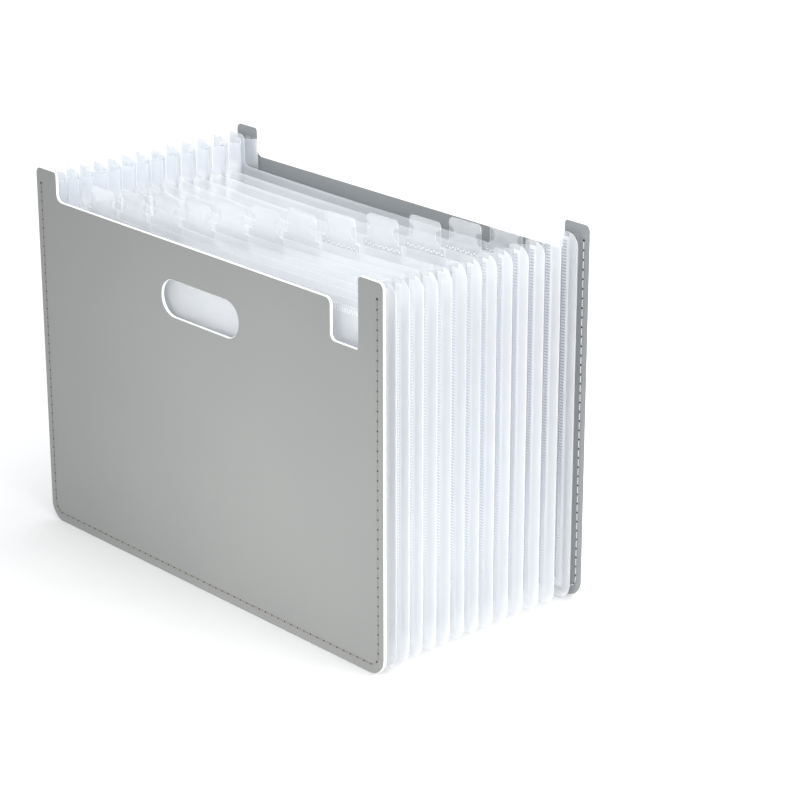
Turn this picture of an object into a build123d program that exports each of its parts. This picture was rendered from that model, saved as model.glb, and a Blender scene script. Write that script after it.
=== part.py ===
from build123d import *
import math
import os

# Expanding file: two stitched covers, film walls between them and a V-folded gusset in each gap.
# Millimetres. X runs across the front, Y from the front cover to the rear one, Z up from the floor.

# Covers, seen from the front
cover_width = 330.0
cover_height = 242.0  # floor to the tops of the ears
cover_corner_radius = 12.0  # bottom corners
ear_width = 21.0
ear_rise = 19.0  # ear tops above the middle of the top edge
ear_outer_radius = 4.0
ear_inner_radius = 2.5
ear_root_radius = 5.0

# Layers of a cover, from the outside in
skin_thickness = 0.3
core_thickness = 1.7
lining_thickness = 0.2
layer_inset = 0.25  # skin and lining stop this far inside the edge of the core

# Notch beside the right ear of the front cover
notch_width = 24.0
notch_depth = 25.0  # below the middle of the top edge
notch_radius = 4.0
notch_ear_radius = 2.0  # in the corner under the ear

# Hand hole in the front cover
hand_hole_width = 74.5
hand_hole_height = 23.8
hand_hole_drop = 36.0  # middle of the top edge down to the middle of the hole

# Seam round the left, bottom and right of each cover
seam_side_inset = 4.8
seam_bottom_inset = 6.0
seam_top_drop = 10.0  # first stitch below the ear tops
stitch_pitch = 6.0
stitch_length = 4.4
thread_width = 0.8
thread_height = 0.25

# Film walls between the covers
wall_count = 13
wall_film = 0.4
wall_side_inset = 2.0  # inside the sides of the covers
wall_floor_gap = 1.0
wall_corner_radius = 10.0  # bottom corners
wall_ear_width = 15.6
wall_ear_drop = 4.0  # below the ear tops of the covers
wall_ear_rise = 21.0  # film ear tops above the middle of the film's top edge
wall_ear_outer_radius = 8.0
wall_ear_inner_radius = 2.0
wall_ear_root_radius = 4.0

# Depth as it stands, with the clear depth of the first and the last pocket
file_depth = 167.1  # front face to rear face
front_pocket_depth = 9.4  # from here each pocket is deeper than the one in front of it
rear_pocket_depth = 8.0  # behind the last wall

# Gussets: flaps welded to both walls and two leaves that meet in a fold
gusset_film = 0.3
gusset_flap_inset = 6.8  # edge of the walls to the edge of the flaps
gusset_flap_width = 5.2
gusset_top_drop = 3.0  # below the film ear tops
least_fold_depth = 7.0  # fold left in the deepest pocket

# Index tabs: two film layers, one tab to each wall but the first, stepping from left to right
tab_film = 0.3  # one layer
tab_width = 27.0
tab_start_margin = 13.3  # left film ear to the first tab
tab_end_margin = 29.0  # last tab to the right film ear
tab_rise = 15.5  # above the middle of the film's top edge
tab_tail = 12.0  # below that edge
tab_tail_flare = 3.6  # the tail is this much wider at each side
tab_shoulder_drop = 0.6  # top of the wide tail below the film's top edge
tab_tail_radius = 0.8
tab_corner_radius = 3.0
finger_notch_radius = 4.4
finger_notch_rise = 5.2  # middle of the finger notches above the film's top edge

# Places that the pieces share
cover_thickness = skin_thickness + core_thickness + lining_thickness
cover_side = cover_width / 2
clear_depth = file_depth - 2 * cover_thickness - wall_count * wall_film
depth_to_share = clear_depth - rear_pocket_depth - wall_count * front_pocket_depth
pocket_growth = depth_to_share / (wall_count * (wall_count - 1) / 2)
pocket_depths = [front_pocket_depth + pocket_growth * k for k in range(wall_count)] + [rear_pocket_depth]
front_face = -file_depth / 2
front_inner_face = front_face + cover_thickness
rear_face = file_depth / 2
rear_inner_face = rear_face - cover_thickness

wall_front_faces = []
wall_rear_faces = []
next_face = front_inner_face
for pocket_depth in pocket_depths[:-1]:
    wall_front_faces.append(next_face + pocket_depth)
    next_face = wall_front_faces[-1] + wall_film
    wall_rear_faces.append(next_face)

wall_side = cover_side - wall_side_inset
wall_ear_top = cover_height - wall_ear_drop
wall_top = wall_ear_top - wall_ear_rise
wall_ear_side = wall_side - wall_ear_width
gusset_root = gusset_flap_inset + gusset_flap_width
leaf_length = math.hypot(max(pocket_depths) / 2, least_fold_depth)

os.makedirs("parts", exist_ok=True)


def save(piece, label):
    piece.label = label
    export_step(piece, f"parts/{label}.step")


# Corner points and radii of a cover, counter-clockwise from the bottom left, drawn in by an inset
def cover_corners(inset, notched):
    side = cover_side - inset
    ear_side = cover_side - ear_width + inset
    ear_top = cover_height - inset
    middle_top = cover_height - ear_rise - inset
    notch_floor = middle_top - notch_depth
    notch_side = cover_side - ear_width - notch_width - inset
    corners = [
        ((-side, inset), cover_corner_radius - inset),
        ((side, inset), cover_corner_radius - inset),
        ((side, ear_top), ear_outer_radius - inset),
        ((ear_side, ear_top), ear_inner_radius - inset),
    ]
    if notched:
        corners += [
            ((ear_side, notch_floor), notch_ear_radius + inset),
            ((notch_side, notch_floor), notch_radius + inset),
            ((notch_side, middle_top), notch_radius - inset),
        ]
    else:
        corners += [((ear_side, middle_top), ear_root_radius + inset)]
    corners += [
        ((-ear_side, middle_top), ear_root_radius + inset),
        ((-ear_side, ear_top), ear_inner_radius - inset),
        ((-side, ear_top), ear_outer_radius - inset),
    ]
    return zip(*corners)


# One layer of a cover between two faces; only the front cover has the notch and the hand hole
def cover_layer(label, inset, near_face, far_face, is_front):
    points, radii = cover_corners(inset, notched=is_front)
    with BuildPart() as layer:
        with BuildSketch(Plane.XZ.offset(-far_face)):
            with BuildLine():
                FilletPolyline(*points, radius=radii, close=True)
            make_face()
            if is_front:
                with Locations((0, cover_height - ear_rise - hand_hole_drop)):
                    hole_size = (hand_hole_width + 2 * inset, hand_hole_height + 2 * inset)
                    SlotOverall(*hole_size, mode=Mode.SUBTRACT)
        extrude(amount=far_face - near_face)
    save(layer.part, label)


# Place and direction of each stitch, from the left ear round the bottom to the right ear
def stitch_places():
    side = cover_side - seam_side_inset
    top = cover_height - seam_top_drop
    with BuildLine() as seam:
        FilletPolyline(
            (-side, top),
            (-side, seam_bottom_inset),
            (side, seam_bottom_inset),
            (side, top),
            radius=cover_corner_radius - seam_side_inset,
        )
    run = seam.wires()[0]
    stitch_count = int(run.length // stitch_pitch)
    shares = [(k + 0.5) / stitch_count for k in range(stitch_count)]
    return [Location(run @ share, (0, 0, run.tangent_angle_at(share))) for share in shares]


# Stitches that lie on a cover's outer face and stand out of it
def seam_thread(label, outer_face, outward):
    with BuildPart() as thread:
        with BuildSketch(Plane.XZ.offset(-outer_face)):
            with Locations(*stitch_places()):
                SlotOverall(stitch_length, thread_width)
        extrude(amount=-outward * thread_height)
    save(thread.part, label)


# Flat film wall with an ear at each end of its top edge
def film_wall(label, near_face, far_face):
    corners = [
        ((-wall_side, wall_floor_gap), wall_corner_radius),
        ((wall_side, wall_floor_gap), wall_corner_radius),
        ((wall_side, wall_ear_top), wall_ear_outer_radius),
        ((wall_ear_side, wall_ear_top), wall_ear_inner_radius),
        ((wall_ear_side, wall_top), wall_ear_root_radius),
        ((-wall_ear_side, wall_top), wall_ear_root_radius),
        ((-wall_ear_side, wall_ear_top), wall_ear_inner_radius),
        ((-wall_side, wall_ear_top), wall_ear_outer_radius),
    ]
    points, radii = zip(*corners)
    with BuildPart() as wall:
        with BuildSketch(Plane.XZ.offset(-far_face)):
            with BuildLine():
                FilletPolyline(*points, radius=radii, close=True)
            make_face()
        extrude(amount=far_face - near_face)
    save(wall.part, label)


# Flat sleeve on the front of a wall, on a wider tail; its front layer has a finger notch in each side
def index_tab(label, left, wall_face):
    low = wall_top - tab_tail
    high = wall_top + tab_rise
    right = left + tab_width
    shoulder = wall_top - tab_shoulder_drop
    corners = [
        ((left - tab_tail_flare, low), tab_tail_radius),
        ((right + tab_tail_flare, low), tab_tail_radius),
        ((right + tab_tail_flare, shoulder), tab_tail_radius),
        ((right, shoulder), 0),
        ((right, high), tab_corner_radius),
        ((left, high), tab_corner_radius),
        ((left, shoulder), 0),
        ((left - tab_tail_flare, shoulder), tab_tail_radius),
    ]
    points, radii = zip(*corners)
    with BuildPart() as tab:
        with BuildSketch(Plane.XZ.offset(-wall_face)):
            with BuildLine():
                FilletPolyline(*points, radius=radii, close=True)
            make_face()
        extrude(amount=2 * tab_film)
        with BuildSketch(Plane.XZ.offset(tab_film - wall_face)):
            with Locations((left, wall_top + finger_notch_rise), (right, wall_top + finger_notch_rise)):
                Circle(finger_notch_radius)
        extrude(amount=tab_film, mode=Mode.SUBTRACT)
    save(tab.part, label)


# V-folded strip in a gap: down one side, along the bottom and up the other, with mitred corners
def gusset(label, near_face, far_face):
    depth = far_face - near_face
    fold_depth = math.sqrt(leaf_length**2 - (depth / 2) ** 2)
    leaf_slope = fold_depth / (depth / 2 - gusset_film)
    root_shift = gusset_film * (math.hypot(1, leaf_slope) - leaf_slope)
    top = wall_ear_top - gusset_top_drop
    section_points = [
        (gusset_flap_inset, 0),
        (gusset_root + root_shift, 0),
        (gusset_root + root_shift + leaf_slope * depth / 2, depth / 2),
        (gusset_root + root_shift, depth),
        (gusset_flap_inset, depth),
        (gusset_flap_inset, depth - gusset_film),
        (gusset_root, depth - gusset_film),
        (gusset_root + fold_depth, depth / 2),
        (gusset_root, gusset_film),
        (gusset_flap_inset, gusset_film),
    ]
    with BuildPart() as strip:
        with BuildLine(Plane.XZ.offset(-near_face)):
            Polyline(
                (wall_side, top),
                (wall_side, wall_floor_gap),
                (-wall_side, wall_floor_gap),
                (-wall_side, top),
            )
        with BuildSketch(Plane((wall_side, near_face, top), x_dir=(-1, 0, 0), z_dir=(0, 0, -1))):
            with BuildLine():
                Polyline(*section_points, close=True)
            make_face()
        sweep(transition=Transition.RIGHT)
    save(strip.part, label)


# Front cover
front_core_face = front_face + skin_thickness
cover_layer("front_skin", layer_inset, front_face, front_core_face, is_front=True)
front_lining_face = front_core_face + core_thickness
cover_layer("front_core", 0, front_core_face, front_lining_face, is_front=True)
cover_layer("front_lining", layer_inset, front_lining_face, front_inner_face, is_front=True)
seam_thread("front_seam_thread", front_face, outward=-1)

# Rear cover
rear_core_face = rear_face - skin_thickness
cover_layer("rear_skin", layer_inset, rear_core_face, rear_face, is_front=False)
rear_lining_face = rear_core_face - core_thickness
cover_layer("rear_core", 0, rear_lining_face, rear_core_face, is_front=False)
cover_layer("rear_lining", layer_inset, rear_inner_face, rear_lining_face, is_front=False)
seam_thread("rear_seam_thread", rear_face, outward=1)

# Film walls
for k in range(wall_count):
    film_wall(f"divider_{k + 1:02d}", wall_front_faces[k], wall_rear_faces[k])

# Index tabs, the last one nearest the right film ear
first_tab_left = tab_start_margin - wall_ear_side
last_tab_left = wall_ear_side - tab_end_margin - tab_width
tab_pitch = (last_tab_left - first_tab_left) / (wall_count - 2)
for k in range(1, wall_count):
    index_tab(f"index_tab_{k:02d}", first_tab_left + tab_pitch * (k - 1), wall_front_faces[k])

# Gussets
near_faces = [front_inner_face] + wall_rear_faces
far_faces = wall_front_faces + [rear_inner_face]
for k in range(wall_count + 1):
    gusset(f"gusset_{k + 1:02d}", near_faces[k], far_faces[k])
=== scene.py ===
import math

import bmesh
import bpy
from mathutils import Matrix, Vector


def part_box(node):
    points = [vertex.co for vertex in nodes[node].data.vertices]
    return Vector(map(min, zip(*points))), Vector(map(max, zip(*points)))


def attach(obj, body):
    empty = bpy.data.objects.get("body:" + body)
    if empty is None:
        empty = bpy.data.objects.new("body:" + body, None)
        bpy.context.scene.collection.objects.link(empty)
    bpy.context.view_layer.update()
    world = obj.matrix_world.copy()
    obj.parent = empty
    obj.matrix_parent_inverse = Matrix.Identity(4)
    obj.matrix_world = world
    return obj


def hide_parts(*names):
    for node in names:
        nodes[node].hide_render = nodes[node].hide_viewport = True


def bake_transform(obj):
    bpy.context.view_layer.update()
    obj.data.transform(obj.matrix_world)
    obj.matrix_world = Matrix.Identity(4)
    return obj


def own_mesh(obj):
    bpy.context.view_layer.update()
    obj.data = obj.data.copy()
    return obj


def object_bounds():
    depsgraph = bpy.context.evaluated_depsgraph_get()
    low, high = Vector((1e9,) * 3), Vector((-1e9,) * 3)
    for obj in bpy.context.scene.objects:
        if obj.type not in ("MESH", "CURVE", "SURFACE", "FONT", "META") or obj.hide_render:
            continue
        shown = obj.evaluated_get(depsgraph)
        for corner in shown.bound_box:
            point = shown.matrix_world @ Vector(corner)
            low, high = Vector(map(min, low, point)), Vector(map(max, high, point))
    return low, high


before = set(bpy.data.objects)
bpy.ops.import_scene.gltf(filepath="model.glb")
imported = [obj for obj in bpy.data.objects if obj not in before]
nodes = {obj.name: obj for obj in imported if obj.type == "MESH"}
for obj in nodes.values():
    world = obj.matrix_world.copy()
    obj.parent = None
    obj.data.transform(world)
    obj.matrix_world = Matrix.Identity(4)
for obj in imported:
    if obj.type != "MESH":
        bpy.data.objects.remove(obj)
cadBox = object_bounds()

mm = 0.001
wallCount = sum(name.startswith("divider_") for name in nodes)
print("frame loaded:", len(nodes), "nodes,", wallCount, "film walls")


# lowest and highest corner of a CAD node in millimetres
def nodeBox(name):
    low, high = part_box(name)
    return low / mm, high / mm


# colours are given as they look on a screen, 0 to 255
def shade(red, green, blue, part=1.0):
    return tuple(part * ((c / 255 + 0.055) / 1.055) ** 2.4 for c in (red, green, blue)) + (1,)


# A socket that takes Python's operators

class Value:
    def __init__(self, finish, out):
        self.finish, self.out = finish, out

    def calc(self, operation, a, b):
        return self.finish.node("ShaderNodeMath", {"operation": operation}, {0: a, 1: b})

    def __add__(self, other):
        return self.calc("ADD", self, other)

    def __mul__(self, other):
        return self.calc("MULTIPLY", self, other)

    def __sub__(self, other):
        return self.calc("SUBTRACT", self, other)

    def __rsub__(self, other):
        return self.calc("SUBTRACT", other, self)

    __radd__, __rmul__ = __add__, __mul__


# A material on one Principled shader, with a method that adds any other node

class Finish:
    def __init__(self, name, **fixed):
        self.material = bpy.data.materials.new(name)
        self.material.use_nodes = True
        self.tree = self.material.node_tree
        self.shader = next(n for n in self.tree.nodes if n.type == "BSDF_PRINCIPLED")
        self.feed(**fixed)

    def link(self, socket, value):
        if isinstance(value, Value):
            self.tree.links.new(value.out, socket)
        else:
            socket.default_value = value

    def node(self, kind, settings=None, inputs=None, output=0):
        made = self.tree.nodes.new(kind)
        for key, value in (settings or {}).items():
            setattr(made, key, value)
        for key, value in (inputs or {}).items():
            self.link(made.inputs[key], value)
        return Value(self, made.outputs[output])

    def feed(self, **values):
        for key, value in values.items():
            self.link(self.shader.inputs[key.replace("_", " ")], value)
        return self

    def place(self):
        return self.node("ShaderNodeTexCoord", output="Object")

    def noise(self, cell, detail=2.0, where=None):
        inputs = {"Vector": where or self.place(), "Scale": 1 / cell, "Detail": detail, "Roughness": 0.5}
        return self.node("ShaderNodeTexNoise", {"noise_dimensions": "3D"}, inputs)

    def cells(self, cell):
        inputs = {"Vector": self.place(), "Scale": 1 / cell}
        return self.node("ShaderNodeTexVoronoi", {"feature": "F1"}, inputs)

    def stretched(self, x, y, z):
        inputs = {"Vector": self.place(), "Scale": (x, y, z)}
        return self.node("ShaderNodeMapping", {"vector_type": "POINT"}, inputs)

    def axis(self, letter):
        return self.node("ShaderNodeSeparateXYZ", {}, {"Vector": self.place()}, output=letter)

    # 0 at one value, 1 at the other, smooth between them
    def ramp(self, value, zero, one):
        inputs = {"Value": value, "From Min": zero, "From Max": one}
        return self.node("ShaderNodeMapRange", {"interpolation_type": "SMOOTHSTEP"}, inputs)

    def along(self, letter, zero, one):
        return self.ramp(self.axis(letter), zero, one)

    def mix(self, share, a, b):
        settings = {"data_type": "RGBA", "clamp_factor": True}
        return self.node("ShaderNodeMix", settings, {"Factor": share, 6: a, 7: b}, output=2)

    def bump(self, height, strength, distance):
        inputs = {"Height": height, "Strength": strength, "Distance": distance}
        return self.node("ShaderNodeBump", {}, inputs)


# from the swing below the middle to the swing above it, as a noise goes from 0 to 1
def around(noise, middle, swing):
    return middle - swing + 2 * swing * noise


# goes from the least to 1 as a ramp goes from 0 to 1
def atLeast(least, ramp):
    return least + (1 - least) * ramp


# Covers: satin skin and lining on a white board

coverLook = {
    "skin": (127, 129, 129),
    "skinCloud": (133, 134, 133),
    "lining": (138, 141, 143),
    "liningCloud": (144, 146, 147),
    "cloudCell": 90 * mm,
    "speckCell": 1.6 * mm,
    "speckDarker": 26,
    "speckShare": 0.10,
    "grainCell": 0.9 * mm,
    "poreCell": 0.35 * mm,
    "grainDepth": 0.03 * mm,
    "rough": 0.55,
    "core": (252, 252, 250),
    "coreFibre": (236, 236, 232),
    "fibreCell": 0.5 * mm,
    "fibreStretch": (0.3, 4.0, 0.3),
    "fibreDepth": 0.05 * mm,
}


def coverFinish(name, base, cloud):
    finish = Finish(name, IOR=1.46, Specular_IOR_Level=0.3)
    grain = finish.cells(coverLook["grainCell"])
    pores = finish.noise(coverLook["poreCell"])
    cloudy = finish.noise(coverLook["cloudCell"])
    speck = finish.noise(coverLook["speckCell"])
    dark = [c - coverLook["speckDarker"] for c in base]
    colour = finish.mix(cloudy, shade(*base), shade(*cloud))
    colour = finish.mix(speck * coverLook["speckShare"], colour, shade(*dark))
    rough = around(speck, coverLook["rough"], 0.05) - 0.06 * grain
    normal = finish.bump(grain * 0.7 + pores * 0.3, 0.25, coverLook["grainDepth"])
    return finish.feed(Base_Color=colour, Roughness=rough, Normal=normal).material


def coreFinish(name):
    finish = Finish(name, IOR=1.45)
    where = finish.stretched(*coverLook["fibreStretch"])
    fibre = finish.noise(coverLook["fibreCell"], detail=3.0, where=where)
    colour = finish.mix(fibre, shade(*coverLook["core"]), shade(*coverLook["coreFibre"]))
    normal = finish.bump(fibre, 0.3, coverLook["fibreDepth"])
    return finish.feed(Base_Color=colour, Roughness=around(fibre, 0.60, 0.05), Normal=normal).material


# Film: milky sheets that let part of the light through, and glow with painted light

filmLook = {
    "sheet": (223, 227, 232),
    "milky": (230, 233, 237),
    "tab": (230, 236, 243),
    "edge": (252, 253, 255),
    "edgeSpeck": (244, 248, 253),
    "rough": 0.40,
    "scatter": 3 * mm,
    "driftCell": 60 * mm,
    "driftStretch": (1.0, 1.0, 0.35),
    "driftAlpha": 0.05,
    "frostCell": 0.7 * mm,
    "frostDepth": 0.02 * mm,
    "paintedGlow": 0.40,  # painted glow, standing for the light that many bounces between the sheets would add
    "rimWidth": 8 * mm,  # the painted glow begins this far in from the sides
    "deepWidth": 45 * mm,  # and is full this far in from the sides and the front
    "footHeight": 150 * mm,
    "paintedFootGlow": 0.3,  # painted glow under that height, standing for the pale floor's light
    "paintedEarGlow": 0.28,  # painted light at the right-hand ears, standing for the open air's light
    "earDrops": (28 * mm, 22 * mm),  # the ears begin between these depths under the top
    "earReach": 60 * mm,  # and are told apart as left and right by this distance from the middle
    "earShade": (205, 212, 222),  # painted shade on the left-hand ears, for the shade of the stack
    "earShadeShare": 0.8,
    "earShadeAlpha": 0.18,  # how much more the left-hand ears hide than the sheets, as painted shade
}
# rim and full: share of the painted glow at the rims and deep in the stack
films = {
    "film": {"name": "frosted_film", "tint": "sheet", "alpha": 0.21, "rim": 0.15, "full": 1.0},
    "hem": {"name": "frosted_film_hem", "tint": "milky", "alpha": 0.40, "rim": 0.15, "full": 0.35},
    "gusset": {"name": "frosted_gusset_film", "tint": "sheet", "alpha": 0.13, "rim": 0.15, "full": 1.0},
    "flap": {"name": "welded_flap_film", "tint": "milky", "alpha": 0.36, "rim": 0.75, "full": 0.4},
    "tab": {
        "name": "frosted_tab_film", "tint": "tab", "alpha": 0.165,
        "rim": 0.85, "full": 0.75, "shaded": 0.0,
    },
    "backing": {
        "name": "clear_tab_backing", "tint": "tab", "alpha": 0.115,
        "rim": 0.85, "full": 0.75, "shaded": 0.0,
    },
}


def filmFinish(name, tint, alpha, rim, full, shaded=1.0):
    finish = Finish(name, IOR=1.48, Subsurface_Weight=1.0, Subsurface_Radius=(1.0, 1.0, 1.0),
                    Subsurface_Scale=filmLook["scatter"], Emission_Strength=filmLook["paintedGlow"])
    front, side, top = cadBox[0].y, cadBox[1].x, cadBox[1].z
    drift = finish.noise(filmLook["driftCell"], where=finish.stretched(*filmLook["driftStretch"]))
    frost = finish.noise(filmLook["frostCell"])
    earLow, earHigh = filmLook["earDrops"]
    ear = finish.along("Z", top - earLow, top - earHigh)
    # painted shade on the left-hand ears: a darker colour and more alpha
    shadedLeftEar = ear * finish.along("X", 0.0, -filmLook["earReach"]) * shaded
    # painted light on the right-hand ears: they glow more
    litRightEar = ear * finish.along("X", 0.0, filmLook["earReach"])
    colour = finish.mix(drift, shade(*filmLook[tint]), shade(*filmLook["milky"]))
    colour = finish.mix(filmLook["earShadeShare"] * shadedLeftEar, colour, shade(*filmLook["earShade"]))
    hides = around(drift, alpha, filmLook["driftAlpha"]) + filmLook["earShadeAlpha"] * shadedLeftEar
    # painted glow: strongest deep in the stack, weaker at the sides and the front, raised near the foot
    # and at the right-hand ears
    across = finish.node("ShaderNodeMath", {"operation": "ABSOLUTE"}, {0: finish.axis("X")})
    deep = finish.ramp(across, side - filmLook["rimWidth"], side - filmLook["deepWidth"])
    deep = deep * finish.along("Y", front, front + filmLook["deepWidth"])
    foot = finish.along("Z", filmLook["footHeight"], 0.0)
    share = deep + filmLook["paintedFootGlow"] * foot + filmLook["paintedEarGlow"] * litRightEar
    glow = finish.mix(share, shade(*filmLook[tint], part=rim), shade(*filmLook[tint], part=full))
    rough = around(frost, filmLook["rough"], 0.08)
    normal = finish.bump(frost, 0.12, filmLook["frostDepth"])
    return finish.feed(Base_Color=colour, Roughness=rough, Alpha=hides, Normal=normal,
                       Emission_Color=glow).material


# Ticks, dashes, threads and plain finishes

tickLook = {
    "front": (228, 233, 240),  # painted shade: paler at the front, where more film stands behind them, darker towards the rear
    "rear": (112, 119, 130),
    "alpha": 0.75,
    "speckCell": 0.8 * mm,
    "paleFoot": 120 * mm,  # painted light: paler again from this height down
    "paleLeast": 0.3,
    "footFade": (10 * mm, 80 * mm),
    "footLeast": 0.2,  # share of the alpha that is left at the foot
    "topFade": 40 * mm,
    "topLeast": 0.35,
    "frontFade": 0.3,  # share of the half depth behind the middle
    "frontLeast": 0.55,
}


def tickFinish(name):
    # painted shade and light: the ticks glow, darken towards the rear, pale near the foot, and fade out
    # at the foot, the top and the front
    finish = Finish(name, IOR=1.45, Emission_Strength=filmLook["paintedGlow"])
    front, rear, top = cadBox[0].y, cadBox[1].y, cadBox[1].z
    raised = atLeast(tickLook["paleLeast"], finish.along("Z", 0.0, tickLook["paleFoot"]))
    share = finish.along("Y", front, rear) * raised
    seen = atLeast(tickLook["footLeast"], finish.along("Z", *tickLook["footFade"]))
    seen = seen * atLeast(tickLook["topLeast"], finish.along("Z", top, top - tickLook["topFade"]))
    behind = finish.along("Y", front, rear * tickLook["frontFade"])
    seen = seen * atLeast(tickLook["frontLeast"], behind)
    speck = finish.noise(tickLook["speckCell"])
    colour = finish.mix(share, shade(*tickLook["front"]), shade(*tickLook["rear"]))
    finish.feed(Base_Color=colour, Emission_Color=colour, Roughness=around(speck, 0.30, 0.06))
    return finish.feed(Alpha=tickLook["alpha"] * seen).material


brightLook = {
    "white": (255, 255, 255),
    "speck": (248, 250, 253),
    "speckCell": 0.6 * mm,
    "least": 0.1,  # share of the alpha that is left where they are lost
}


# bright lines with a painted glow, faded out by painted light in the bright film at one share of the
# half depth and clear at another
def brightFinish(name, alpha, glow, lost, clear):
    finish = Finish(name, IOR=1.45, Emission_Strength=glow)
    speck = finish.noise(brightLook["speckCell"])
    white = finish.mix(speck, shade(*brightLook["white"]), shade(*brightLook["speck"]))
    seen = atLeast(brightLook["least"], finish.along("Y", cadBox[1].y * lost, cadBox[1].y * clear))
    finish.feed(Base_Color=white, Emission_Color=white, Roughness=around(speck, 0.40, 0.08))
    return finish.feed(Alpha=alpha * seen).material


def plainFinish(name, colour, other, cell, rough, alpha=1.0, glow=0.0):
    finish = Finish(name, IOR=1.45, Alpha=alpha, Emission_Color=shade(*colour), Emission_Strength=glow)
    speck = finish.noise(cell)
    normal = finish.bump(speck, 0.2, 0.03 * mm)
    mixed = finish.mix(speck, shade(*colour), shade(*other))
    return finish.feed(Base_Color=mixed, Roughness=around(speck, rough, 0.08), Normal=normal).material


threadLook = {
    "grey": ((150, 143, 135), (116, 110, 103)),  # ridge, groove; the groove colour is painted shade
    "pale": ((232, 230, 226), (176, 174, 171)),
    "twist": 3.0 * mm,
    "twistTurn": 45.0,  # degrees
    "twistDepth": 0.08 * mm,
}


def threadFinish(name, ridge, groove):
    finish = Finish(name, IOR=1.45)
    slant = (0, math.radians(threadLook["twistTurn"]), 0)
    turn = finish.node("ShaderNodeMapping", {"vector_type": "POINT"},
                       {"Vector": finish.place(), "Rotation": slant})
    twist = finish.node("ShaderNodeTexWave", {"wave_type": "BANDS", "bands_direction": "X"},
                        {"Vector": turn, "Scale": 1 / threadLook["twist"], "Distortion": 1.0})
    # the twist's grooves are painted darker as shade
    colour = finish.mix(twist, shade(*groove), shade(*ridge))
    normal = finish.bump(twist, 0.5, threadLook["twistDepth"])
    return finish.feed(Base_Color=colour, Roughness=around(twist, 0.68, 0.06), Normal=normal).material


looks = {
    "skin": coverFinish("satin_grey_skin", coverLook["skin"], coverLook["skinCloud"]),
    "lining": coverFinish("grey_lining", coverLook["lining"], coverLook["liningCloud"]),
    "core": coreFinish("white_board_edge"),
    "thread": threadFinish("twisted_grey_thread", *threadLook["grey"]),
    "reverse": threadFinish("pale_bobbin_thread", *threadLook["pale"]),
    # needle holes are dark discs: painted shade where the holes are
    "hole": plainFinish("needle_hole_shade", (38, 33, 30), (24, 21, 20), cell=0.4 * mm, rough=0.8),
    # the film edges and the top weld row glow a little: painted light
    "edge": plainFinish("bright_film_edge", filmLook["edge"], filmLook["edgeSpeck"], cell=0.8 * mm,
                        rough=0.3, alpha=0.3, glow=0.05),
    "tick": tickFinish("pressed_weld_tick"),
    "dash": brightFinish("bright_weld_dash", alpha=0.72, glow=0.2, lost=-0.3, clear=0.5),
    "rim": brightFinish("tab_film_edge", alpha=0.4, glow=0.0, lost=-0.5, clear=0.1),
}
for key, film in films.items():
    looks[key] = filmFinish(**film)
for cover in ("front", "rear"):
    for layer in ("skin", "core", "lining"):
        slots = nodes[f"{cover}_{layer}"].data.materials
        slots.clear()
        slots.append(looks[layer])
print("finishes made:", len(looks))


# Mesh helpers; everything is drawn in millimetres and scaled to metres when it becomes an object

tiny = 1e-4
sharpAngle = 0.6  # in radians
sheetNormal = 0.6  # a sheet's own faces have at least this much of their normal along y


def makePiece(bm, name, finishes):
    bmesh.ops.scale(bm, vec=(mm, mm, mm), verts=bm.verts[:])
    mesh = bpy.data.meshes.new(name)
    bm.to_mesh(mesh)
    bm.free()
    for key in finishes:
        mesh.materials.append(looks[key])
    piece = bpy.data.objects.new(name, mesh)
    bpy.context.scene.collection.objects.link(piece)
    return piece


# flat face from corner points (x, z) and their radii, facing the front
def roundedSheet(bm, corners, y, segments=8):
    points = [bm.verts.new((x, y, z)) for (x, z), radius in corners]
    bm.faces.new(points)
    for point, (place, radius) in zip(points, corners):
        if radius:
            bmesh.ops.bevel(bm, geom=[point], offset=radius, offset_type="OFFSET", segments=segments,
                            profile=0.5, affect="VERTICES", material=-1, clamp_overlap=False)


def sliceSheet(bm, axis, places):
    normal = Vector((1, 0, 0)) if axis == "x" else Vector((0, 0, 1))
    for place in places:
        bmesh.ops.bisect_plane(bm, geom=bm.verts[:] + bm.edges[:] + bm.faces[:], dist=tiny,
                               plane_co=normal * place, plane_no=normal)


# gives a sheet its thickness towards the rear; faces across the thickness get the edge finish
def thicken(bm, depth, edgeIndex):
    made = bmesh.ops.extrude_face_region(bm, geom=bm.faces[:], use_keep_orig=True)
    moved = [g for g in made["geom"] if isinstance(g, bmesh.types.BMVert)]
    bmesh.ops.translate(bm, vec=(0, depth, 0), verts=moved)
    bmesh.ops.recalc_face_normals(bm, faces=bm.faces[:])
    for face in bm.faces:
        if abs(face.normal.y) < sheetNormal:
            face.material_index = edgeIndex
        else:
            face.smooth = True
    for edge in bm.edges:
        if len(edge.link_faces) == 2 and edge.calc_face_angle() > sharpAngle:
            edge.smooth = False


# a finished part becomes a mesh that can be copied
def asMesh(part):
    mesh = bpy.data.meshes.new("part")
    part.to_mesh(mesh)
    part.free()
    return mesh


# moves a finished part into the piece that it belongs to
def takeIn(bm, part):
    mesh = asMesh(part)
    bm.from_mesh(mesh)
    bpy.data.meshes.remove(mesh)


# adds a copy of a mesh, moved by a matrix
def addCopy(bm, mesh, matrix):
    before = len(bm.verts)
    bm.from_mesh(mesh)
    bm.verts.ensure_lookup_table()
    bmesh.ops.transform(bm, matrix=matrix, verts=bm.verts[before:])


def easeIn(value, start, end):
    t = min(1.0, max(0.0, (value - start) / (end - start)))
    return t * t * (3 - 2 * t)


# Film walls, bowed forward in the middle of their tops

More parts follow.
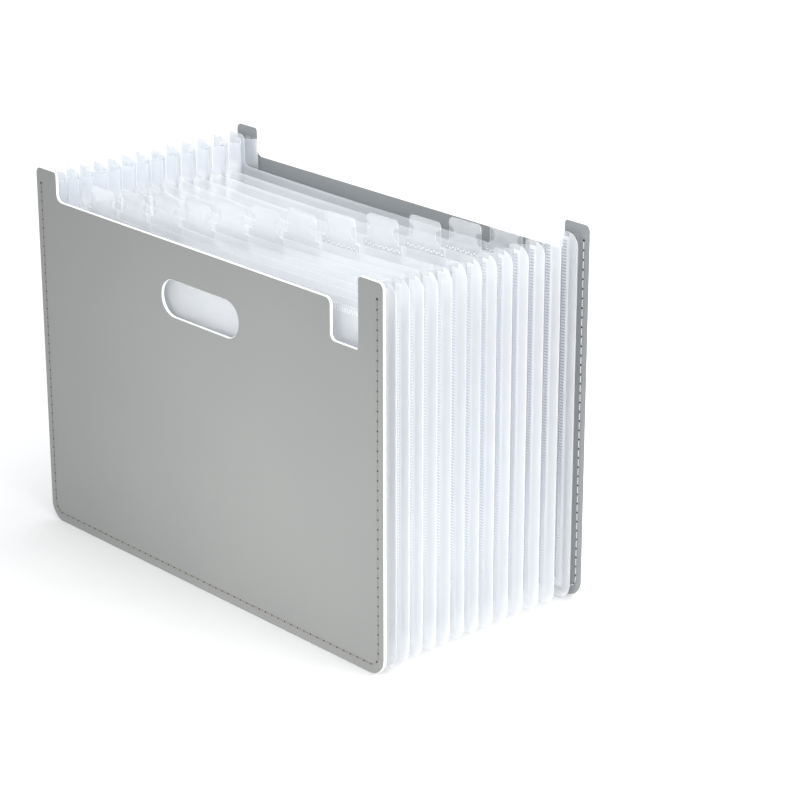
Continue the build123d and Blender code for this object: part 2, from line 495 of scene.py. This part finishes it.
wallSizes = {
    "cornerRadius": 10.0,
    "earWidth": 15.6,
    "earRise": 21.0,
    "rightEarRadii": (8.0, 2.0, 4.0),  # outer, inner, root
    "leftEarRadii": (1.5, 4.0, 4.0),
    "hemWidth": 6.8,
    "bow": {1: 6.5, 8: 10.5, 9: 9.5, 11: 3.5, 13: 3.5},  # at these walls, evenly stepped between them
    "bowReach": 146.0,
    "bowLow": 30.0,
    "bowPower": 1.15,
    "bowColumns": 16,  # on each side of the middle
    "bowRows": 10,
    "closedShare": 0.12,  # of the bow that is left when the file is shut
}
wallLow, wallHigh = nodeBox("divider_01")
wallSide = wallHigh.x
wallTop = wallHigh.z - wallSizes["earRise"]


def bowDepth(k):
    marks = sorted(wallSizes["bow"].items())
    for (first, a), (last, b) in zip(marks, marks[1:]):
        if k <= last:
            return a + (b - a) * (k - first) / (last - first)
    return marks[-1][1]


def bowSheet(bm, k):
    for v in bm.verts:
        across = max(0.0, 1 - (v.co.x / wallSizes["bowReach"]) ** 2) ** wallSizes["bowPower"]
        v.co.y -= bowDepth(k) * across * easeIn(v.co.z, wallSizes["bowLow"], wallTop)


def bowFlattens(piece):
    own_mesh(piece)


def filmWall(k):
    low, high = nodeBox(f"divider_{k:02d}")
    outer, inner, root = wallSizes["rightEarRadii"]
    leftOuter, leftInner, leftRoot = wallSizes["leftEarRadii"]
    earSide = wallSide - wallSizes["earWidth"]
    bottom, hem = wallSizes["cornerRadius"], wallSizes["hemWidth"]
    columns, rows = wallSizes["bowColumns"], wallSizes["bowRows"]
    bowLow, bowReach = wallSizes["bowLow"], wallSizes["bowReach"]
    bm = bmesh.new()
    roundedSheet(bm, [
        ((-wallSide, low.z), bottom),
        ((wallSide, low.z), bottom),
        ((wallSide, high.z), outer),
        ((earSide, high.z), inner),
        ((earSide, wallTop), root),
        ((-earSide, wallTop), leftRoot),
        ((-earSide, high.z), leftInner),
        ((-wallSide, high.z), leftOuter),
    ], low.y)
    sliceSheet(bm, "x", [bowReach * s / columns for s in range(-columns, columns + 1)])
    sliceSheet(bm, "x", [hem - wallSide, wallSide - hem])
    sliceSheet(bm, "z", [low.z + hem])
    sliceSheet(bm, "z", [bowLow + (wallTop - bowLow) * s / rows for s in range(rows)])
    for face in bm.faces:
        middle = face.calc_center_median()
        if abs(middle.x) > wallSide - hem or middle.z < low.z + hem:
            face.material_index = 1
    bowSheet(bm, k)
    thicken(bm, high.y - low.y, 2)
    piece = makePiece(bm, f"film_wall_{k:02d}", ("film", "hem", "edge"))
    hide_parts(f"divider_{k:02d}")
    bowFlattens(piece)
    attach(piece, f"wall_{k:02d}")


for k in range(1, wallCount + 1):
    filmWall(k)
print("film walls made:", wallCount)


# Weld ticks, pressed through the film

weldSizes = {
    "inset": 10.3,
    "pitch": 1.9,
    "tick": (3.0, 0.7),
    "proud": 0.12,
    "sunk": 0.05,
    "sideDrop": 3.0,  # the side rows end this far under the top of the gusset
    "bottomGap": 1.5,  # and the bottom row this far from them
    "topRowDrop": 3.2,
    "topRowGap": 4.0,
    "topTick": (2.8, 0.5),
    "topTurn": 16.0,
}


# a flat box in the plane y = 0, turned from lying along x
def addTick(bm, x, z, degrees, size):
    length, height = size
    place = Matrix.Translation((x, 0, z)) @ Matrix.Rotation(math.radians(degrees), 4, "Y")
    box = Matrix.Diagonal((length, weldSizes["proud"] + weldSizes["sunk"], height, 1))
    bmesh.ops.create_cube(bm, size=1.0, matrix=place @ box)


# Index tabs: two layers on a wider tail, with a zigzag of weld dashes under the wall's top edge

tabSizes = {
    "flare": 3.6,
    "shoulderDrop": 0.6,
    "cornerRadius": 3.0,
    "tailRadius": 0.8,
    "notchRadius": 4.4,
    "notchArc": 0.998,  # share of that radius, so that the two arcs of a notch just don't meet
    "notchRise": 6.0,
    "layer": 0.25,
    "rim": 0.45,
    "arcSegments": 6,
    "columns": 6,
    "weldDepth": 6.0,
    "dashPitch": 2.3,
    "dashGap": 4.0,
    "dashDrop": 4.0,
    "dash": (1.4, 0.42),
    "dashTurn": 64.0,
    "dashStep": 0.4,
}


def tabLayer(low, high, y, wall, notched):
    left, right = low.x + tabSizes["flare"], high.x - tabSizes["flare"]
    tail, corner, bite = tabSizes["tailRadius"], tabSizes["cornerRadius"], tabSizes["notchRadius"]
    shoulder = wallTop - tabSizes["shoulderDrop"]
    notchLow = wallTop + tabSizes["notchRise"] - bite
    notchHigh = notchLow + 2 * bite
    rightSide = [((high.x, low.z), tail), ((high.x, shoulder), tail), ((right, shoulder), 0)]
    if notched:
        arc = bite * tabSizes["notchArc"]
        rightSide += [((right, notchLow), 0), ((right - bite, notchLow), arc)]
        rightSide += [((right - bite, notchHigh), arc), ((right, notchHigh), 0)]
    rightSide += [((right, high.z), corner)]
    leftSide = [((low.x + high.x - x, z), radius) for (x, z), radius in reversed(rightSide)]
    bm = bmesh.new()
    roundedSheet(bm, rightSide + leftSide, y, tabSizes["arcSegments"])
    rim = bmesh.ops.inset_region(bm, faces=bm.faces[:], thickness=tabSizes["rim"], use_even_offset=True)
    for face in rim["faces"]:
        face.material_index = 1
    columns = tabSizes["columns"]
    sliceSheet(bm, "x", [left + (right - left) * s / columns for s in range(1, columns)])
    sliceSheet(bm, "z", [wallTop - tabSizes["weldDepth"], wallTop])
    bowSheet(bm, wall)
    thicken(bm, tabSizes["layer"], 1)
    if not notched:  # the rear layer is clearer
        for face in bm.faces:
            if face.material_index == 0:
                face.material_index = 3
    return bm


def tabDashes(low, high, wall):
    bm = bmesh.new()
    pitch = tabSizes["dashPitch"]
    count = int((high.x - low.x - tabSizes["dashGap"]) / pitch)
    for s in range(count + 1):
        side = (-1) ** s
        x = (low.x + high.x) / 2 + pitch * (s - count / 2)
        z = wallTop - tabSizes["dashDrop"] + tabSizes["dashStep"] * side
        addTick(bm, x, z, 90 + tabSizes["dashTurn"] * side, tabSizes["dash"])
    bmesh.ops.translate(bm, vec=(0, low.y, 0), verts=bm.verts[:])
    for face in bm.faces:
        face.material_index = 2
    bowSheet(bm, wall)
    return bm


def indexTab(k):
    low, high = nodeBox(f"index_tab_{k:02d}")
    wall = k + 1
    bm = tabLayer(low, high, low.y, wall, notched=True)
    takeIn(bm, tabLayer(low, high, high.y - tabSizes["layer"], wall, notched=False))
    takeIn(bm, tabDashes(low, high, wall))
    piece = makePiece(bm, f"label_sleeve_{k:02d}", ("tab", "rim", "dash", "backing"))
    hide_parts(f"index_tab_{k:02d}")
    bowFlattens(piece)
    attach(piece, f"wall_{wall:02d}")


for k in range(1, wallCount):
    indexTab(k)
print("index tabs made:", wallCount - 1)


# Gussets: a V-folded strip down one side, along the bottom and up the other, with rows of ticks

gussetSizes = {
    "film": 0.15,
    "flapInset": 6.8,
    "root": 12.0,
    "topDrop": 3.0,
    "seat": 0.02,  # clear of the wall, so that no two faces coincide
    "leafBend": ((0.5, 0.23), (0.86, 0.405)),  # shares of the leaf's width and of the pocket's depth
    "crease": 0.5,
    "lastCrease": 0.8,  # further back, which lets the last fold shut behind the last wall
    "creaseBand": 0.2,  # CAD points this near to the middle of a pocket lie on the crease
    "sideFloor": 100.0,  # and above this height they belong to a side
    "flapNormal": 0.99,  # flaps have at least this much of their normal along y
    "closedGap": 2.0,  # of every pocket
}
gussetTop = wallHigh.z - gussetSizes["topDrop"]
floorGap = wallLow.z
pockets = [nodeBox(f"gusset_{k:02d}") for k in range(1, wallCount + 2)]
shifts = [0.0]
for low, high in pockets:
    shifts.append(shifts[-1] + high.y - low.y - gussetSizes["closedGap"])


# one row of ticks round a wall, drawn at y = 0
def tickRow():
    inset, pitch, size = weldSizes["inset"], weldSizes["pitch"], weldSizes["tick"]
    bm = bmesh.new()
    rowTop = gussetTop - weldSizes["sideDrop"]
    for s in range(int((rowTop - floorGap - inset) / pitch) + 1):
        addTick(bm, wallSide - inset, rowTop - pitch * s, 0, size)
        addTick(bm, inset - wallSide, rowTop - pitch * s, 0, size)
    columns = int((wallSide - inset - weldSizes["bottomGap"]) / pitch)
    for s in range(-columns, columns + 1):
        addTick(bm, pitch * s, floorGap + inset, 90, size)
    for face in bm.faces:
        face.material_index = 2
    return asMesh(bm)


# place on the blend's smooth curve that has this share of the motion
def blendPlace(share):
    low, high = 0.0, 1.0
    for _ in range(60):
        middle = (low + high) / 2
        low, high = (middle, high) if easeIn(middle, 0, 1) < share else (low, middle)
    return (low + high) / 2


# how far the fold of a gusset reaches in from the sides, read from its CAD solid
def foldReach(k):
    low, high = pockets[k - 1]
    middle = (low.y + high.y) / 2
    band, floor = gussetSizes["creaseBand"], gussetSizes["sideFloor"]
    points = [v.co / mm for v in nodes[f"gusset_{k:02d}"].data.vertices]
    reach = [p.x for p in points if abs(p.y - middle) < band and p.x > 0 and p.z > floor]
    return wallSide - (min(reach) + max(reach)) / 2


# distances in from the wall's edge and back from the pocket's front face
def foldSection(k, depth):
    root, seat, crease = gussetSizes["root"], gussetSizes["seat"], gussetSizes["crease"]
    inner = foldReach(k)
    section = [(gussetSizes["flapInset"], seat), (root, seat)]
    if 1 < k < wallCount:  # the end folds have straight leaves, so that they shut flat
        section += [(root + (inner - root) * a, depth * b) for a, b in gussetSizes["leafBend"]]
    if k > wallCount:
        crease = gussetSizes["lastCrease"]
    return section + [(inner, depth * crease)] + [(inset, depth - y) for inset, y in reversed(section)]


def gusset(k, row):
    low, high = pockets[k - 1]
    section = foldSection(k, high.y - low.y)
    corners = [  # x, z and the way in along each
        (wallSide, gussetTop, -1, 0),
        (wallSide, floorGap, -1, 1),
        (-wallSide, floorGap, 1, 1),
        (-wallSide, gussetTop, 1, 0),
    ]
    bm = bmesh.new()
    lines = [[bm.verts.new((x + inward * inset, low.y + y, z + up * inset)) for inset, y in section]
             for x, z, inward, up in corners]
    for line, after in zip(lines, lines[1:]):
        for s in range(len(section) - 1):
            bm.faces.new((line[s], line[s + 1], after[s + 1], after[s]))
    bmesh.ops.recalc_face_normals(bm, faces=bm.faces[:])
    bm.faces.ensure_lookup_table()
    if bm.faces[0].normal.y < 0:  # the flap faces away from the wall that it lies on
        bmesh.ops.reverse_faces(bm, faces=bm.faces[:])
    bmesh.ops.solidify(bm, geom=bm.faces[:], thickness=gussetSizes["film"])
    bmesh.ops.recalc_face_normals(bm, faces=bm.faces[:])
    for face in bm.faces:
        if abs(face.normal.y) > gussetSizes["flapNormal"]:
            face.material_index = 1
    stand = gussetSizes["seat"] + (weldSizes["proud"] - weldSizes["sunk"]) / 2
    for y in (low.y + stand, high.y - stand):
        addCopy(bm, row, Matrix.Translation((0, y, 0)))
    piece = makePiece(bm, f"side_fold_{k:02d}", ("gusset", "flap", "tick"))
    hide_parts(f"gusset_{k:02d}")
    if k == 1:
        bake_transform(piece)
    else:
        nearPlace = blendPlace(shifts[k - 1] / shifts[-1])
        farPlace = blendPlace(shifts[k] / shifts[-1])
        span = (high.y - low.y) / (farPlace - nearPlace)
        start = low.y - nearPlace * span
        end = start + span
        start * mm
        end * mm
        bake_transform(piece)


sideRow = tickRow()
for k in range(1, wallCount + 2):
    gusset(k, sideRow)
bpy.data.meshes.remove(sideRow)
print("gussets made:", wallCount + 1)


# Row of ticks under the top edge of the first wall, which carries no tab

def topWeldRow():
    low, high = nodeBox("divider_01")
    pitch, z = weldSizes["pitch"], wallTop - weldSizes["topRowDrop"]
    count = int((wallSide - wallSizes["earWidth"] - weldSizes["topRowGap"]) / pitch)
    ticks = bmesh.new()
    for s in range(-count, count + 1):
        addTick(ticks, pitch * s, z, 90 + weldSizes["topTurn"] * (-1) ** s, weldSizes["topTick"])
    row = asMesh(ticks)
    bm = bmesh.new()
    for y in (low.y, high.y):
        addCopy(bm, row, Matrix.Translation((0, y, 0)))
    bpy.data.meshes.remove(row)
    bowSheet(bm, 1)
    piece = makePiece(bm, "top_weld_row", ("edge",))
    bowFlattens(piece)
    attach(piece, "wall_01")


topWeldRow()
print("top weld row made")


# Seams: arched stitches with needle holes between them, drawn as dark discs of painted shade, and the
# pale reverse on the linings

seamSizes = {
    "sideInset": 4.8,
    "bottomInset": 6.0,
    "topDrop": 10.0,
    "cornerRadius": 7.2,
    "pitch": 6.0,
    "threadWidth": 0.55,
    "threadSides": 6,
    "stitchSpan": 4.8,
    "stitchSteps": 6,
    "rise": 0.42,
    "backRise": 0.3,
    "sunk": 0.35,  # each stitch is sunk by this share of the thread's radius
    "holeRadius": 0.6,
    "endHoleRadius": 0.85,
    "holeDepth": 0.1,
    "holeProud": 0.02,
}
coverHigh = nodeBox("front_core")[1]
seamSide = coverHigh.x - seamSizes["sideInset"]
seamLow, seamTop = seamSizes["bottomInset"], coverHigh.z - seamSizes["topDrop"]
seamRun = seamTop - seamLow - seamSizes["cornerRadius"]
seamBend = math.pi / 2 * seamSizes["cornerRadius"]
seamFloor = 2 * (seamSide - seamSizes["cornerRadius"])
seamLength = 2 * seamRun + 2 * seamBend + seamFloor


# point (x, z) and direction at a distance along the seam, from the left ear round to the right ear
def seamPlace(distance):
    radius = seamSizes["cornerRadius"]
    if distance > seamLength / 2:  # the right half mirrors the left
        x, z, angle = seamPlace(seamLength - distance)
        return -x, z, -angle
    if distance < seamRun:
        return -seamSide, seamTop - distance, math.radians(-90)
    if distance < seamRun + seamBend:
        turn = (distance - seamRun) / radius
        x = -seamSide + radius - radius * math.cos(turn)
        return x, seamLow + radius - radius * math.sin(turn), turn - math.pi / 2
    return -seamSide + radius + distance - seamRun - seamBend, seamLow, 0.0


# one arched stitch; its x runs along the seam and its z points out of the face
def stitchMesh(rise):
    half, width = seamSizes["stitchSpan"] / 2, seamSizes["threadWidth"] / 2
    radius = (half**2 + rise**2) / (2 * rise)
    sweep = math.asin(half / radius)
    bm = bmesh.new()
    start = Matrix.Rotation(-sweep, 4, "Y") @ Matrix.Translation((0, 0, radius))
    start = start @ Matrix.Rotation(math.pi / 2, 4, "Y")
    bmesh.ops.create_circle(bm, segments=seamSizes["threadSides"], radius=width, cap_ends=False,
                            matrix=start)
    bmesh.ops.spin(bm, geom=bm.verts[:] + bm.edges[:], cent=(0, 0, 0), axis=(0, 1, 0), angle=2 * sweep,
                   steps=seamSizes["stitchSteps"], use_duplicate=False)
    bmesh.ops.holes_fill(bm, edges=[e for e in bm.edges if e.is_boundary], sides=8)
    bmesh.ops.remove_doubles(bm, verts=bm.verts[:], dist=tiny)
    bmesh.ops.translate(bm, vec=(0, 0, rise - radius - width * seamSizes["sunk"]), verts=bm.verts[:])
    bmesh.ops.recalc_face_normals(bm, faces=bm.faces[:])
    for face in bm.faces:
        face.smooth = True
    return asMesh(bm)


def seam(name, holesName, body, outward, face, finish, rise, node=None):
    count = int(seamLength // seamSizes["pitch"])
    pitch = seamLength / count
    out = Vector((0, outward, 0))
    stitch = stitchMesh(rise)
    bm = bmesh.new()
    for s in range(count):
        x, z, angle = seamPlace((s + 0.5) * pitch)
        along = Vector((math.cos(angle), 0, math.sin(angle)))
        turn = Matrix((along, out.cross(along), out)).transposed().to_4x4()
        addCopy(bm, stitch, Matrix.Translation((x, face, z)) @ turn)
    bpy.data.meshes.remove(stitch)
    piece = makePiece(bm, name, (finish,))
    if node:
        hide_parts(node)
    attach(piece, body)
    holes = bmesh.new()
    for s in range(count + 1):
        x, z, angle = seamPlace(min(s * pitch, seamLength))
        radius = seamSizes["endHoleRadius"] if s in (0, count) else seamSizes["holeRadius"]
        place = Matrix.Translation((x, face + outward * seamSizes["holeProud"], z))
        place = place @ Matrix.Rotation(math.pi / 2, 4, "X")
        # a dark disc on the face stands for each hole's shade
        bmesh.ops.create_cone(holes, cap_ends=True, segments=10, radius1=radius, radius2=radius,
                              depth=seamSizes["holeDepth"], matrix=place)
    piece = makePiece(holes, holesName, ("hole",))
    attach(piece, body)


frontFace, rearFace = nodeBox("front_skin")[0].y, nodeBox("rear_skin")[1].y
frontInner, rearInner = nodeBox("front_lining")[1].y, nodeBox("rear_lining")[0].y
rise, backRise = seamSizes["rise"], seamSizes["backRise"]
seam("front_stitches", "front_needle_holes", "front_cover", -1, frontFace, "thread", rise,
     "front_seam_thread")
seam("rear_stitches", "rear_needle_holes", "rear_cover", 1, rearFace, "thread", rise,
     "rear_seam_thread")
seam("front_stitch_backs", "front_back_holes", "front_cover", 1, frontInner, "reverse", backRise)
seam("rear_stitch_backs", "rear_back_holes", "rear_cover", -1, rearInner, "reverse", backRise)
print("seams made: 4")


# Floor, light and camera

stageLook = {
    "floorSize": 8.0,
    "floor": (221, 221, 221),
    "floorCloud": (225, 225, 225),
    "floorCell": 40 * mm,
    "world": 1.0,
    "worldTint": (0.97, 0.987, 1.0),
    "spotSoftness": 0.2,
}
lights = {  # spread in degrees, or the panel's side in metres
    "soft_sun": {
        "kind": "SUN", "at": (0.8, 0.1, 2.2), "to": (0, 0, 0),
        "spread": 70, "power": 1.6, "tint": (1, 1, 1),
    },
    "right_panel": {
        "kind": "AREA", "at": (1.5, -0.05, 0.45), "to": (0.1, 0, 0.1),
        "spread": 1.2, "power": 15, "tint": (1, 1, 1),
    },
    "front_spot": {
        "kind": "SPOT", "at": (0.3, -1.0, 0.2), "to": (0.06, -0.08, 0.09),
        "spread": 27, "power": 44, "tint": (1, 0.985, 0.94),
    },
    "low_spot": {
        "kind": "SPOT", "at": (1.2, -0.5, 0.22), "to": (0.17, 0.02, 0.0),
        "spread": 17, "power": 36, "tint": (1, 1, 1),
    },
}
view = {  # solved from the corners of both covers in the photograph
    "target": (179.02, frontFace, 177.67),
    "azimuth": 47.609,
    "elevation": 20.436,
    "distance": 1481.3,
    "focalPixels": 2663.5,
    "framePixels": 800,
    "sensor": 36.0,
    "clip": (0.05, 20),
}


def makeFloor():
    bm = bmesh.new()
    bmesh.ops.create_grid(bm, x_segments=1, y_segments=1, size=stageLook["floorSize"] / 2 / mm)
    looks["floor"] = plainFinish("pale_floor", stageLook["floor"], stageLook["floorCloud"],
                                 cell=stageLook["floorCell"], rough=0.8)
    makePiece(bm, "floor", ("floor",))


def makeWorld():
    world = bpy.data.worlds.new("studio")
    world.use_nodes = True
    background = next(n for n in world.node_tree.nodes if n.type == "BACKGROUND")
    background.inputs["Color"].default_value = (*stageLook["worldTint"], 1)
    background.inputs["Strength"].default_value = stageLook["world"]
    bpy.context.scene.world = world


def makeLight(name, light):
    data = bpy.data.lights.new(name, light["kind"])
    data.energy, data.color = light["power"], light["tint"]
    if light["kind"] == "SUN":
        data.angle = math.radians(light["spread"])
    elif light["kind"] == "SPOT":
        data.spot_size, data.spot_blend = math.radians(light["spread"]), 1.0
        data.shadow_soft_size = stageLook["spotSoftness"]
    else:
        data.shape, data.size = "SQUARE", light["spread"]
    lamp = bpy.data.objects.new(name, data)
    lamp.location = light["at"]
    aim = Vector(light["to"]) - Vector(light["at"])
    lamp.rotation_euler = aim.to_track_quat("-Z", "Y").to_euler()
    lamp.visible_camera = False
    bpy.context.scene.collection.objects.link(lamp)


def makeCamera():
    turn, lift = math.radians(view["azimuth"]), math.radians(view["elevation"])
    back = Vector((math.sin(turn) * math.cos(lift), -math.cos(turn) * math.cos(lift), math.sin(lift)))
    data = bpy.data.cameras.new("camera")
    data.sensor_width = view["sensor"]
    data.lens = view["focalPixels"] * view["sensor"] / view["framePixels"]
    data.clip_start, data.clip_end = view["clip"]
    camera = bpy.data.objects.new("camera", data)
    camera.location = (Vector(view["target"]) + back * view["distance"]) * mm
    camera.rotation_euler = (-back).to_track_quat("-Z", "Y").to_euler()
    bpy.context.scene.collection.objects.link(camera)
    bpy.context.scene.camera = camera


makeFloor()
makeWorld()
for name, light in lights.items():
    makeLight(name, light)
makeCamera()
bpy.context.scene.view_settings.view_transform = "Standard"
print("stage made")
